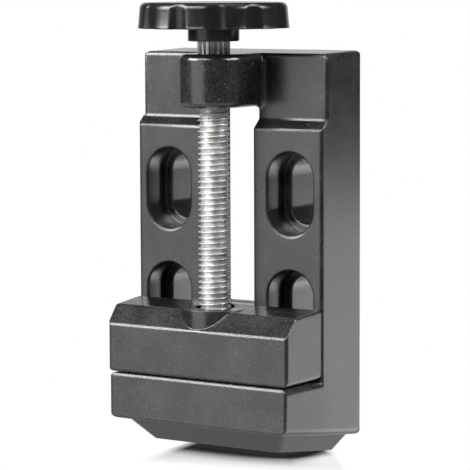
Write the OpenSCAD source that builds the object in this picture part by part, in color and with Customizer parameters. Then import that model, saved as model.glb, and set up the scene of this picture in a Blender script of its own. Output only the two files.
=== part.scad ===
// Small drill press vise: die-cast base with a fixed jaw, a moving jaw that a hand screw drives,
// and a keeper in the underside channel that holds the moving jaw down on its rails.
// The base lies on its underside at z = 0, +X runs along the screw towards the knob, +Z is up,
// and the origin is at the centre of the four mounting slots.

/* [Base casting] */
// Width across both rails
base_w = 39.4; // [38.4:0.5:46.4]
// Length of the underside, from its outer edge to the end face at the knob
base_len = 69.8; // [69:0.5:74]
// Height of the rails above the table
base_h = 13.9; // [13.1:0.2:16.3]
// How far the end block lies below the rails
end_step = 1.85; // [1:0.05:3]
// Length of the end block
end_block_len = 11.8; // [11:0.2:13]
// Length of the slope between the rails and the end block
step_run = 1.6; // [0.8:0.2:2.4]
// Radius of the edge at the top of that slope
step_edge_r = 0.8; // [0.3:0.1:1]
// Radius of the fillet at the foot of that slope
step_foot_r = 0.7; // [0.3:0.1:1]
// Radius of the upright corners at the end face
corner_r = 1.4; // [0.6:0.1:1.6]
// Radius of the upright corners at the nose
nose_corner_r = 1.5; // [0.6:0.05:1.6]
// How far the end face at the knob leans out towards the table
end_draft = 0.35; // [0.1:0.05:0.6]
// Radius of the long edges of the castings
edge_r = 0.7; // [0.4:0.1:0.8]

/* [Fixed jaw] */
// Height of both jaws above the rails
jaw_h = 11; // [10:0.5:14]
// Length of the fixed jaw at the underside
fixed_jaw_len = 11.9; // [10:0.1:13]
// How far the top of the outer end leans in
end_slant = 3.55; // [1:0.05:4]
// Radius of the upright corners beside the fixed jaw's face
fixed_corner_r = 1.4; // [0.5:0.1:1.6]
// How much each side of the fixed jaw draws in from the rails to its top
fixed_draft = 0.9; // [0.3:0.05:1.2]

/* [Nose] */
// Height of the nose on the outer end
nose_h = 3.45; // [2:0.05:5]
// Width of the nose where it leaves the end
nose_w = 33.4; // [30:0.1:35]
// Distance from the top of the jaw to the nose
nose_drop = 2.3; // [2:0.05:5]
// How far the sloping sides of the nose draw in
nose_slope = 3.25; // [2:0.05:5]
// How far the sloping top of the nose draws in
nose_top_slope = 4.05; // [2:0.05:5]
// Radius of the corners of the nose
nose_r = 1.4; // [0.8:0.1:1.8]

/* [Mounting slots] */
// Distance between slot centres along the rails
slot_pitch_x = 21.1; // [20:0.1:22]
// Distance between slot centres across the rails
slot_pitch_y = 26; // [25.4:0.1:27]
// Distance from the end face to the centres of the nearer slots
slot_end_dist = 24.9; // [24:0.1:26]
// Width of the through slot
slot_w = 6.4; // [5.4:0.1:6.8]
// Length of the through slot
slot_len = 11.9; // [10:0.1:13]
// Width of the ledge that the bolt head rests on
slot_ledge = 1.5; // [1:0.1:1.8]
// Depth of the pocket for the bolt head
pocket_depth = 6; // [4:0.1:7]
// Size of the chamfer round the pocket
pocket_rim = 0.3; // [0.1:0.05:0.4]

/* [Gap and channel] */
// Width of the gap between the rails
gap_w = 11; // [10:0.1:11.6]
// Radius of the corners of the gap
gap_r = 0.5; // [0.3:0.1:1.6]
// Width of the underside channel
channel_w = 17; // [16:0.1:17.4]
// Radius of the corners of the underside channel
channel_r = 1; // [0.5:0.1:2]

/* [Nut boss] */
// Height of the screw axis above the rails
screw_rise = 4.55; // [4.35:0.1:5.05]
// Outer radius of the nut boss
boss_r = 6.2; // [5.8:0.05:6.5]
// Length of the nut boss
boss_len = 9.5; // [8.5:0.1:10.5]
// Radius of the rims of the nut boss
boss_rim_r = 1.2; // [0.6:0.1:1.4]
// Radius of the fillets at the foot of the nut boss
boss_foot_r = 0.8; // [0.5:0.1:1.6]

/* [Moving jaw] */
// Length of the moving jaw
jaw_len = 12; // [11.5:0.1:13]
// Radius of the upright corners beside the moving jaw's face
moving_corner_r = 1.2; // [0.5:0.1:1.5]
// Radius of the upright corners at the moving jaw's back
back_corner_r = 0.6; // [0.3:0.1:1]
// How much each side of the moving jaw draws in from the rails to its top
moving_draft = 0.5; // [0.2:0.05:1]
// How far the moving jaw's back leans out towards the rails
back_lean = 0.7; // [0.3:0.05:1]
// Height of the chamfer on the back edge
chamfer_z = 2.95; // [2:0.05:4]
// Length of the chamfer on the back edge
chamfer_x = 3.35; // [2:0.05:4]
// Radius of the round boss at the screw hole
pad_r = 6.2; // [5.6:0.05:6.35]
// How far that boss stands out from the top of the jaw's back
pad_rise = 0.35; // [0.2:0.05:0.5]
// Diameter of the open mouth that the screw enters
mouth_d = 7.1; // [6.8:0.1:8]
// Depth of that mouth
mouth_depth = 2.4; // [1.5:0.1:3]
// Distance from the jaw face to the end of the blind screw bore
blind_wall = 1.6; // [1:0.1:2.5]

/* [Lead screw] */
// Diameter over the thread crests
screw_d = 5.9; // [5.6:0.05:6.1]
// Diameter over the knurled end
knurl_d = 5.9; // [5.3:0.05:6]
// Length of the knurled end that shows between the nut boss and the knob
neck_len = 2.2; // [1:0.1:5]
// Diameter of the plain journal in the moving jaw
journal_d = 5; // [4.6:0.05:5.2]
// Diameter of the groove for the retaining pins
groove_d = 3.4; // [3:0.1:3.8]
// Distance from the shoulder of the thread to the middle of the groove
groove_dist = 4.2; // [3.8:0.1:4.6]
// Diameter of each retaining pin
pin_d = 2; // [1.5:0.1:2.2]
// Distance that each retaining pin reaches above the screw axis
pin_rise = 2.6; // [1:0.1:3.5]

/* [Keeper] */
// Thickness of the keeper plate
keeper_t = 1.9; // [1.5:0.1:2.2]
// How far the underside channel reaches past both ends of the gap
channel_lead = 0.5; // [0.3:0.1:2]
// How far the keeper plate stays inside each end of the jaw
keeper_inset = 0.4; // [0.2:0.1:1]
// Distance between the two keeper screws
keeper_screw_pitch = 6.6; // [6.2:0.1:6.8]
// Thread diameter of a keeper screw
keeper_screw_d = 2.5; // [2:0.1:2.6]
// Length of a keeper screw below its head
keeper_screw_len = 8; // [6:0.5:10]
// Head diameter of a keeper screw
keeper_head_d = 4.5; // [4:0.1:4.8]
// Head height of a keeper screw
keeper_head_h = 1.7; // [1.4:0.1:2]
// Thickness of a lock washer
washer_t = 0.6; // [0.4:0.1:0.8]
// Width of the ring of a lock washer
washer_ring = 0.9; // [0.6:0.1:1.1]

/* [Hand knob] */
// Diameter of the knob over its lip
knob_d = 27.2; // [24:0.2:32]
// Height of the knob above its lip
knob_h = 4.75; // [4.2:0.05:7]
// Number of flutes round the knob
knob_flutes = 12; // [8:1:14]
// Width that the lip stands out from the side
knob_lip = 0.25; // [0.15:0.05:0.5]
// Height of the lip
knob_lip_h = 0.7; // [0.4:0.05:1]
// Radius of the upper edge
knob_edge_r = 0.9; // [0.5:0.1:1.4]
// Depth of a flute
flute_depth = 0.75; // [0.5:0.05:1]
// Radius of a flute
flute_r = 2.2; // [1.6:0.1:2.6]
// Diameter of the hub
hub_d = 9.2; // [8.2:0.1:11.2]
// Length of the hub below the lip
hub_h = 2.3; // [1:0.1:4]
// Wall thickness behind the flutes
knob_wall = 1.6; // [1.2:0.1:2]
// Angle of the first flute from straight up, with the jaws closed
knob_turn = 35.5; // [0:0.5:60]
// Thickness of the top of the knob
knob_top = 1.8; // [1.4:0.1:2.5]
// How much the top of the knob is crowned
knob_crown = 0.15; // [0.1:0.05:0.5]

/* [Clearances] */
// Gap between the closed jaw faces
face_gap = 0.1; // [0.05:0.05:0.3]
// Gap above and below the moving jaw's slideways
slide_gap = 0.08; // [0.05:0.01:0.15]
// Gap on each side of the tongue and the keeper
side_gap = 0.15; // [0.1:0.05:0.3]
// Radial gap of the screw in its bores
run_gap = 0.05; // [0.03:0.01:0.1]
// Radial gap of pieces that are pressed or screwed home
press_gap = 0.01; // [0.01:0.01:0.03]
// Gap between the keeper screw heads and the table
table_gap = 0.5; // [0.3:0.1:1]

/* [Hidden] */

$fn = 64;
// Overshoot of a cutter beyond the face that it opens
cut = 1;
// Segments of an arc in an outline
arc_steps = 5;
// Thickness of the outlines that a sloping solid spans
sheet_t = 0.01;

// Places along the base
end_x = slot_end_dist + slot_pitch_x / 2;
outer_x = end_x - base_len;
jaw_face_x = outer_x + fixed_jaw_len;
block_x = end_x - end_block_len;
rail_end_x = block_x - step_run;
boss_x = end_x - boss_len;

// Heights
block_z = base_h - end_step;
jaw_top = base_h + jaw_h;
screw_z = base_h + screw_rise;
channel_h = table_gap + keeper_head_h + washer_t + keeper_t + slide_gap;

// Lean of the end face at the knob
end_lean = atan(end_draft / block_z);

// Lean of the outer end
slant = atan(end_slant / jaw_top);
slant_len = jaw_top / cos(slant);

// Pocket of a mounting slot
pocket_w = slot_w + 2 * slot_ledge;
pocket_len = slot_len + 2 * slot_ledge;

// Moving jaw at rest, closed
jaw_x0 = jaw_face_x + face_gap;
jaw_x1 = jaw_x0 + jaw_len;
jaw_z0 = base_h + slide_gap;
jaw_w = base_w - 2 * side_gap;
tongue_w = gap_w - 2 * side_gap;
tongue_z0 = channel_h - slide_gap;
tongue_inset = 0.5;
mid_x = (jaw_x0 + jaw_x1) / 2;
foot_x = jaw_x1 + back_lean;
pad_x1 = jaw_x1 + pad_rise;
chamfer_z0 = jaw_top - chamfer_z;

// Screw in the moving jaw
shoulder_x = jaw_x1 - mouth_depth + run_gap;
bore_x0 = jaw_x0 + blind_wall;
tip_x = bore_x0 + 2 * run_gap;
groove_x = shoulder_x - groove_dist;
pin_y = groove_d / 2 + pin_d / 2 + run_gap;
pin_z1 = screw_z + pin_rise;
tip_chamfer = 0.4;
thread_chamfer = 0.5;

// Keeper below the rails
keeper_w = channel_w - 2 * side_gap;
keeper_z0 = tongue_z0 - keeper_t;
head_z1 = keeper_z0 - washer_t;
channel_x0 = jaw_x0 - channel_lead;
channel_x1 = boss_x + channel_lead;
screw_hole_z1 = head_z1 + keeper_screw_len + cut;
washer_d = keeper_screw_d + 2 * washer_ring;
washer_slit = 0.5;
head_edge = 0.5;

// Knob
knob_r = knob_d / 2;
side_r = knob_r - knob_lip;
hub_x = end_x + neck_len;
lip_x = hub_x + hub_h;
cavity_r = side_r - flute_depth - knob_wall;
cavity_h = knob_h - knob_top;
socket_end = knob_h - knob_top / 2;

// Points of an arc that rounds the corner p between its neighbours a and b
function corner_arc(p, a, b, r) =
    let (u = (a - p) / norm(a - p),
         v = (b - p) / norm(b - p),
         half = acos(u * v) / 2,
         c = p + (u + v) / norm(u + v) * r / sin(half),
         s = p + u * r / tan(half) - c,
         e = p + v * r / tan(half) - c,
         start = atan2(s[1], s[0]),
         turn = atan2(e[1], e[0]) - start,
         sweep = turn > 180 ? turn - 360 : turn < -180 ? turn + 360 : turn)
    r <= 0 ? [p] : [for (i = [0:arc_steps])
        c + r * [cos(start + sweep * i / arc_steps), sin(start + sweep * i / arc_steps)]];

// Outline through the points, each corner rounded to its own radius
function rounded(points, radii) =
    let (n = len(points))
    [for (i = [0:n - 1]) each corner_arc(points[i], points[(i + n - 1) % n], points[(i + 1) % n], radii[i])];

// An outline in X and Z, made solid across the width w
module across(w) rotate([90, 0, 0]) linear_extrude(w, center = true) children();

// An outline in Y and Z, made solid from x0 to x1
module along(x0, x1) translate([x0, 0, 0]) rotate([90, 0, 90]) linear_extrude(x1 - x0) children();

// A block from x0 to x1, y0 to y1 and z0 to z1 with rounded upright corners
module upright(x0, x1, w, z0, z1, r) translate([0, 0, z0]) linear_extrude(z1 - z0)
    polygon(rounded([[x0, -w / 2], [x1, -w / 2], [x1, w / 2], [x0, w / 2]], [r, r, r, r]));

// Children on the screw axis, with their own z axis along +X
module on_screw_axis(x) translate([x, 0, screw_z]) rotate([0, 90, 0]) children();

// Outline with round ends, long side along X
module stadium(length, w) {
    square([length - w, w], center = true);
    for (side = [-1, 1]) translate([side * (length - w) / 2, 0]) circle(d = w);
}

// Solid with round ends whose upper edge flares out by rim
module flared_rim(length, w, rim) {
    for (side = [-1, 1]) translate([side * (length - w) / 2, 0, 0])
        cylinder(r1 = w / 2, r2 = w / 2 + rim, h = rim);
    along(-(length - w) / 2, (length - w) / 2)
        polygon([[-w / 2, 0], [w / 2, 0], [w / 2 + rim, rim], [-w / 2 - rim, rim]]);
}

// Cutter for one mounting slot: a pocket for the bolt head above a through slot
module slot_cutter() {
    translate([0, 0, -cut]) linear_extrude(base_h + cut) stadium(slot_len, slot_w);
    translate([0, 0, base_h - pocket_depth])
        linear_extrude(pocket_depth + cut) stadium(pocket_len, pocket_w);
    translate([0, 0, base_h - pocket_rim]) flared_rim(pocket_len, pocket_w, 2 * pocket_rim);
}

// Prism that rounds the upright corners of the outer end, leaning with it
module outer_corners() translate([outer_x, 0, 0]) rotate([0, slant, 0])
    upright(0, 2 * base_len, base_w, -base_h, 2 * slant_len, nose_corner_r);

// Prism that rounds the upright corners of the end face, leaning with it
module end_corners() translate([end_x, 0, block_z]) rotate([0, -end_lean, 0])
    upright(-2 * base_len, 0, base_w, -2 * base_h, 2 * base_h, corner_r);

// Rails and end block as one slab
module slab() intersection() {
    across(2 * base_w) polygon(rounded(
        [[outer_x, 0], [end_x + end_draft, 0], [end_x, block_z], [block_x, block_z], [rail_end_x, base_h],
         [outer_x + base_h * tan(slant), base_h]],
        [edge_r, edge_r, edge_r, step_foot_r, step_edge_r, 0]));
    along(outer_x - cut, end_x + end_draft + cut) polygon(rounded(
        [[-base_w / 2, 0], [base_w / 2, 0], [base_w / 2, base_h], [-base_w / 2, base_h]],
        [edge_r, edge_r, edge_r, edge_r]));
    outer_corners();
    end_corners();
}

// Cutters that round the long edges of the end block, which lie below the rails
module end_edges() for (side = [-1, 1]) along(block_x, end_x + cut) difference() {
    translate([side * base_w / 2, block_z]) square(2 * edge_r, center = true);
    translate([side * (base_w / 2 - edge_r), block_z - edge_r]) circle(r = edge_r);
}

// Thin level sheet at z from x0 to x1, its corners rounded by r0 at x0 and by r1 at x1
module sheet(z, x0, x1, w, r0, r1) translate([0, 0, z]) linear_extrude(sheet_t)
    polygon(rounded([[x0, -w / 2], [x1, -w / 2], [x1, w / 2], [x0, w / 2]], [r0, r1, r1, r0]));

// Section of a jaw in Y and Z whose sides draw in by draft, with its long upper edges rounded
module jaw_section(w, draft) polygon(rounded(
    [[-w / 2, 0], [w / 2, 0], [w / 2, base_h], [w / 2 - draft, jaw_top],
     [draft - w / 2, jaw_top], [-w / 2, base_h]],
    [0, 0, 0, edge_r, edge_r, 0]));

// Place of the leaning outer end at the height z
function lean_x(z) = outer_x + z * tan(slant);

// Fixed jaw with its leaning outer end and drawn-in sides
module fixed_jaw() intersection() {
    hull() {
        sheet(nose_corner_r, lean_x(nose_corner_r), jaw_face_x, base_w, nose_corner_r, fixed_corner_r);
        sheet(base_h, lean_x(base_h), jaw_face_x, base_w, nose_corner_r, fixed_corner_r);
        sheet(jaw_top - sheet_t, lean_x(jaw_top), jaw_face_x, base_w - 2 * fixed_draft, nose_corner_r,
              fixed_corner_r);
    }
    across(2 * base_w) polygon(rounded(
        [[lean_x(0), 0], [jaw_face_x, 0], [jaw_face_x, jaw_top], [lean_x(jaw_top), jaw_top]],
        [0, 0, edge_r, edge_r]));
    along(outer_x - cut, jaw_face_x + cut) jaw_section(base_w, fixed_draft);
}

// Rounded rectangle of the nose as a thin sheet, drawn in by the share f of its slopes
module nose_sheet(f) {
    z1 = slant_len - nose_drop - f * nose_top_slope;
    y1 = nose_w / 2 - f * nose_slope;
    linear_extrude(sheet_t) polygon(rounded([[-base_h, -y1], [z1, -y1], [z1, y1], [-base_h, y1]],
                                            [0, nose_r, nose_r, 0]));
}

// Nose with sloping sides on the outer end, flush with the underside
module nose() intersection() {
    translate([outer_x, 0, 0]) rotate([0, slant - 90, 0]) hull() {
        translate([0, 0, -edge_r]) nose_sheet(-edge_r / nose_h);
        translate([0, 0, nose_h - sheet_t]) nose_sheet(1);
    }
    translate([outer_x - base_h, -base_w, 0]) cube([base_h + fixed_jaw_len, 2 * base_w, jaw_top]);
}

// Fillet at the foot of the nut boss, in the section, measured from the foot at x = d
module foot_section(d) difference() {
    translate([d - boss_foot_r, block_z - boss_foot_r]) square(2 * boss_foot_r);
    translate([d + boss_foot_r, block_z + boss_foot_r]) circle(r = boss_foot_r);
}

// Nut boss: a round-rimmed barrel on an upright foot, with fillets round the foot
module nut_boss() {
    on_screw_axis(boss_x) rotate_extrude() polygon(rounded(
        [[0, 0], [boss_r, 0], [boss_r, boss_len], [0, boss_len]], [0, boss_rim_r, boss_rim_r, 0]));
    upright(boss_x, end_x, 2 * boss_r, block_z - cut, screw_z, boss_rim_r);
    for (side = [0, 1]) mirror([0, side, 0]) {
        along(boss_x + boss_rim_r, end_x - boss_rim_r) foot_section(boss_r);
        translate([boss_x + boss_rim_r, boss_r - boss_rim_r, 0]) rotate(90) rotate_extrude(angle = 90)
            intersection() {
                foot_section(boss_rim_r);
                square(2 * base_h);
            }
    }
}

// Base casting
module base_casting() color([0.13, 0.13, 0.14]) difference() {
    union() {
        slab();
        fixed_jaw();
        nose();
        nut_boss();
    }
    end_edges();
    upright(jaw_face_x, boss_x, gap_w, -cut, base_h + cut, gap_r);
    upright(channel_x0, channel_x1, channel_w, -cut, channel_h, channel_r);
    for (x = [-1, 1], y = [-1, 1]) translate([x * slot_pitch_x / 2, y * slot_pitch_y / 2, 0]) slot_cutter();
    on_screw_axis(boss_x - cut) cylinder(r = screw_d / 2 + run_gap, h = boss_len + 2 * cut);
}

// Body of the moving jaw above the rails
module jaw_body() intersection() {
    hull() {
        sheet(jaw_z0, jaw_x0, foot_x, jaw_w, moving_corner_r, back_corner_r);
        sheet(chamfer_z0, jaw_x0, jaw_x1, jaw_w - 2 * moving_draft, moving_corner_r, back_corner_r);
        sheet(jaw_top - sheet_t, jaw_x0, jaw_x1, jaw_w - 2 * moving_draft, moving_corner_r, back_corner_r);
    }
    across(2 * jaw_w) polygon(rounded(
        [[jaw_x0, jaw_z0], [foot_x, jaw_z0], [jaw_x1, chamfer_z0], [jaw_x1 - chamfer_x, jaw_top],
         [jaw_x0, jaw_top]],
        [edge_r, edge_r, edge_r, edge_r, edge_r]));
    along(jaw_x0 - cut, foot_x + cut) jaw_section(jaw_w, moving_draft);
}

// Places along the jaw of the front and the rear keeper screw
function keeper_screw_x(side) = mid_x + side * keeper_screw_pitch / 2;

// Moving jaw with its tongue between the rails
module moving_jaw() color([0.14, 0.14, 0.15]) difference() {
    union() {
        jaw_body();
        on_screw_axis(jaw_x0 + edge_r) cylinder(r = pad_r, h = pad_x1 - jaw_x0 - edge_r);
        upright(jaw_x0 + tongue_inset, jaw_x1 - tongue_inset, tongue_w, tongue_z0, jaw_z0 + cut, gap_r);
    }
    on_screw_axis(jaw_x1 - mouth_depth) cylinder(d = mouth_d, h = mouth_depth + 2 * cut);
    on_screw_axis(bore_x0) cylinder(r = journal_d / 2 + run_gap, h = jaw_len);
    for (side = [-1, 1]) {
        translate([groove_x, side * pin_y, tongue_z0 - cut])
            cylinder(r = pin_d / 2 + press_gap, h = pin_z1 + press_gap - tongue_z0 + cut);
        translate([keeper_screw_x(side), 0, tongue_z0 - cut])
            cylinder(r = keeper_screw_d / 2 + press_gap, h = screw_hole_z1 - tongue_z0 + cut);
    }
}

// Lead screw: journal with a groove, threaded length and knurled end, as one turned piece
module lead_screw() color([0.72, 0.72, 0.7]) on_screw_axis(0) rotate_extrude() polygon([
    [0, tip_x],
    [journal_d / 2 - tip_chamfer, tip_x],
    [journal_d / 2, tip_x + tip_chamfer],
    [journal_d / 2, groove_x - pin_d / 2 - run_gap],
    [groove_d / 2, groove_x - pin_d / 2 - run_gap],
    [groove_d / 2, groove_x + pin_d / 2 + run_gap],
    [journal_d / 2, groove_x + pin_d / 2 + run_gap],
    [journal_d / 2, shoulder_x],
    [screw_d / 2 - thread_chamfer, shoulder_x],
    [screw_d / 2, shoulder_x + thread_chamfer],
    [screw_d / 2, end_x - thread_chamfer],
    [knurl_d / 2, end_x],
    [knurl_d / 2, lip_x + socket_end - press_gap],
    [0, lip_x + socket_end - press_gap]]);

// Solid of revolution of the knob: lip, drawn-in side, rounded edge and crowned top
module knob_body() rotate_extrude() polygon(concat(
    [[0, 0]],
    rounded([[knob_r, 0], [knob_r, knob_lip_h / 2], [side_r, knob_lip_h],
             [side_r - knob_lip / 2, knob_h - knob_crown], [0, knob_h]],
            [0, 0, 0, knob_edge_r, 0])));

// Hand knob with lobes, a hollow underside and a hub pressed on the knurled end
module hand_knob() color([0.07, 0.07, 0.075]) on_screw_axis(lip_x) difference() {
    union() {
        difference() {
            knob_body();
            for (i = [0:knob_flutes - 1]) rotate(180 + knob_turn + i * 360 / knob_flutes)
                translate([side_r - flute_depth + flute_r, 0, -cut])
                    cylinder(r = flute_r, h = knob_h + 2 * cut);
            translate([0, 0, -cut]) cylinder(r = cavity_r, h = cavity_h + cut);
        }
        translate([0, 0, -hub_h]) cylinder(d = hub_d, h = hub_h + cavity_h + knob_top / 2);
    }
    translate([0, 0, -hub_h - cut]) cylinder(r = knurl_d / 2 + press_gap, h = hub_h + cut + socket_end);
}

// Keeper plate in the underside channel
module jaw_keeper() color([0.55, 0.55, 0.55]) difference() {
    upright(jaw_x0 + keeper_inset, jaw_x1 - keeper_inset, keeper_w, keeper_z0, tongue_z0, channel_r);
    for (side = [-1, 1]) translate([keeper_screw_x(side), 0, keeper_z0 - cut])
        cylinder(r = keeper_screw_d / 2 + side_gap, h = keeper_t + 2 * cut);
}

// Cheese-headed screw, head down, with the seat of its head at head_z1
module keeper_screw(side) color([0.6, 0.6, 0.6]) translate([keeper_screw_x(side), 0, head_z1])
    rotate_extrude() polygon(rounded(
        [[0, -keeper_head_h], [keeper_head_d / 2, -keeper_head_h], [keeper_head_d / 2, 0],
         [keeper_screw_d / 2, 0], [keeper_screw_d / 2, keeper_screw_len], [0, keeper_screw_len]],
        [0, head_edge, 0, 0, 0, 0]));

// Split ring under the head of a keeper screw
module lock_washer(side) color([0.5, 0.5, 0.5]) translate([keeper_screw_x(side), 0, head_z1]) difference() {
    cylinder(d = washer_d, h = washer_t);
    translate([0, 0, -cut]) cylinder(r = keeper_screw_d / 2 + press_gap, h = washer_t + 2 * cut);
    translate([0, -washer_slit / 2, -cut]) cube([washer_d, washer_slit, washer_t + 2 * cut]);
}

// Pin pressed up into the moving jaw beside the screw
module retaining_pin(side) color([0.65, 0.65, 0.65]) translate([groove_x, side * pin_y, tongue_z0])
    cylinder(d = pin_d, h = pin_z1 - tongue_z0);

module front_keeper_screw() keeper_screw(-1);
module rear_keeper_screw() keeper_screw(1);
module front_lock_washer() lock_washer(-1);
module rear_lock_washer() lock_washer(1);
module left_retaining_pin() retaining_pin(1);
module right_retaining_pin() retaining_pin(-1);

base_casting();
moving_jaw();
lead_screw();
hand_knob();
jaw_keeper();
front_keeper_screw();
rear_keeper_screw();
front_lock_washer();
rear_lock_washer();
left_retaining_pin();
right_retaining_pin();
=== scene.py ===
"""Looks of a small drill press vise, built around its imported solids.

The part lies on its underside at z = 0, and +X runs along the screw towards the knob. Lengths are
in metres. The photograph shows the vise standing on its nose, so the floor is upright here.
"""
import logging
import math
from contextlib import contextmanager
from dataclasses import dataclass, field
from enum import Enum
from typing import Callable, Iterator, List, Mapping, Optional, Sequence, Tuple, Union

import bmesh
import bpy
from bpy.types import Material, Mesh, Node, NodeSocket, NodeTree, Object
from mathutils import Matrix, Vector


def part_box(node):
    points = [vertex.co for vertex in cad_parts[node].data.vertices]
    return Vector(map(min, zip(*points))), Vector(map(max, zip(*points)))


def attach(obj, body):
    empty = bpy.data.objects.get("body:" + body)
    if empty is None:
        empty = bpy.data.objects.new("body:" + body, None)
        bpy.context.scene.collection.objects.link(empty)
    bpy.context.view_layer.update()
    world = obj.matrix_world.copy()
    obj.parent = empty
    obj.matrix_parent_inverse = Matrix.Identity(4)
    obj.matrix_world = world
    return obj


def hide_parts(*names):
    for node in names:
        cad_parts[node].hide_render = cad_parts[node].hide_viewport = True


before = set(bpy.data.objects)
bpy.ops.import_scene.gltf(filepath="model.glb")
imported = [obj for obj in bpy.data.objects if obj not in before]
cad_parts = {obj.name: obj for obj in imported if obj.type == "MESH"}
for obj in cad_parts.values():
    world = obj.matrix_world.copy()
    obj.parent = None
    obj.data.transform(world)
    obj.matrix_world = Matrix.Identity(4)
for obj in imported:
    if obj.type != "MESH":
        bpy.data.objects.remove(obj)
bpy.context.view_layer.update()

LOG = logging.getLogger("vise")
MM = 0.001
TURN = 2 * math.pi
WELD = 0.0005 * MM
SMOOTH_ANGLE = 35.0

Number = Union[float, int, "Signal"]
Sockets = Mapping[Union[str, int], object]
Pair = Tuple[float, float]
Triple = Tuple[float, float, float]
Profile = List[Pair]


class Body(Enum):
    """Rigid bodies of the vise."""

    BASE = "base"
    JAW = "jaw"
    SCREW = "screw"


class Slot(Enum):
    """Names of the material slots for the finishes of the pieces made here."""

    CASTING = "coated_casting"
    PLATED = "plated_steel"
    PLASTIC = "knob_plastic"


def math_node(operation: str, swapped: bool = False) -> Callable[["Signal", Number], "Signal"]:
    """Makes a method of Signal that adds one Math node.

    Args:
        operation: The node's operation.
        swapped: Whether the other number comes first.

    Returns:
        The method.
    """

    def method(signal: "Signal", other: Number) -> "Signal":
        """The node's result for the signal and another number."""
        pair = (other, signal) if swapped else (signal, other)
        return signal.graph.math(operation, *pair)

    return method


@dataclass(frozen=True)
class Signal:
    """A number in a node tree, on which arithmetic adds Math nodes."""

    graph: "Graph"
    socket: NodeSocket

    __add__ = math_node("ADD")
    __radd__ = math_node("ADD", swapped=True)
    __sub__ = math_node("SUBTRACT")
    __rsub__ = math_node("SUBTRACT", swapped=True)
    __mul__ = math_node("MULTIPLY")
    __rmul__ = math_node("MULTIPLY", swapped=True)
    __truediv__ = math_node("DIVIDE")
    __rtruediv__ = math_node("DIVIDE", swapped=True)
    at_least = math_node("MAXIMUM")
    at_most = math_node("MINIMUM")
    over = math_node("GREATER_THAN")

    def unit(self) -> "Signal":
        """The number held between zero and one."""
        return self.at_least(0.0).at_most(1.0)

    def between(self, low: Number, high: Number) -> "Signal":
        """Rises from zero at one limit to one at the other, and stays level beyond them."""
        return ((self - low) / (high - low)).unit()

    def centred(self) -> "Signal":
        """A noise moved down by its mean of one half."""
        return self - 0.5


class Graph:
    """Adds nodes to a tree and feeds their sockets."""

    def __init__(self, tree: NodeTree) -> None:
        """Keeps the tree that the nodes go into."""
        self.tree = tree

    def feed(self, socket: NodeSocket, value: object) -> None:
        """Links a value to a socket, or sets it there.

        Args:
            socket: The input to feed.
            value: A signal, an output socket or a constant.
        """
        if isinstance(value, Signal):
            value = value.socket
        if isinstance(value, NodeSocket):
            self.tree.links.new(value, socket)
        else:
            socket.default_value = value

    def node(self, kind: str, sockets: Optional[Sockets] = None, **settings: object) -> Node:
        """Adds one node.

        Args:
            kind: The node's type.
            sockets: Values or links of its inputs, by name or number.
            settings: Its properties.

        Returns:
            The new node.
        """
        made = self.tree.nodes.new(kind)
        for name, value in settings.items():
            setattr(made, name, value)
        for key, value in (sockets or {}).items():
            self.feed(made.inputs[key], value)
        return made

    def signal(self, node: Node, output: Union[str, int] = 0) -> Signal:
        """One output of a node as a signal."""
        return Signal(self, node.outputs[output])

    def math(self, operation: str, *values: Number) -> Signal:
        """A Math node on one to three values."""
        return self.signal(self.node("ShaderNodeMath", dict(enumerate(values)), operation=operation))

    def vector(self, operation: str, first: object, second: object) -> Node:
        """A Vector Math node on two vectors."""
        return self.node("ShaderNodeVectorMath", {0: first, 1: second}, operation=operation)

    def dot(self, first: object, second: object) -> Signal:
        """The dot product of two vectors."""
        return self.signal(self.vector("DOT_PRODUCT", first, second), "Value")

    def ramp(self, value: Signal, low: Pair, high: Pair) -> Signal:
        """A number sent through a ramp between two stops, each a place and a grey."""
        made = self.node("ShaderNodeValToRGB", {"Fac": value})
        for stop, (place, grey) in zip(made.color_ramp.elements, (low, high)):
            stop.position = place
            stop.color = (grey, grey, grey, 1.0)
        return self.signal(made, "Color")


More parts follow.
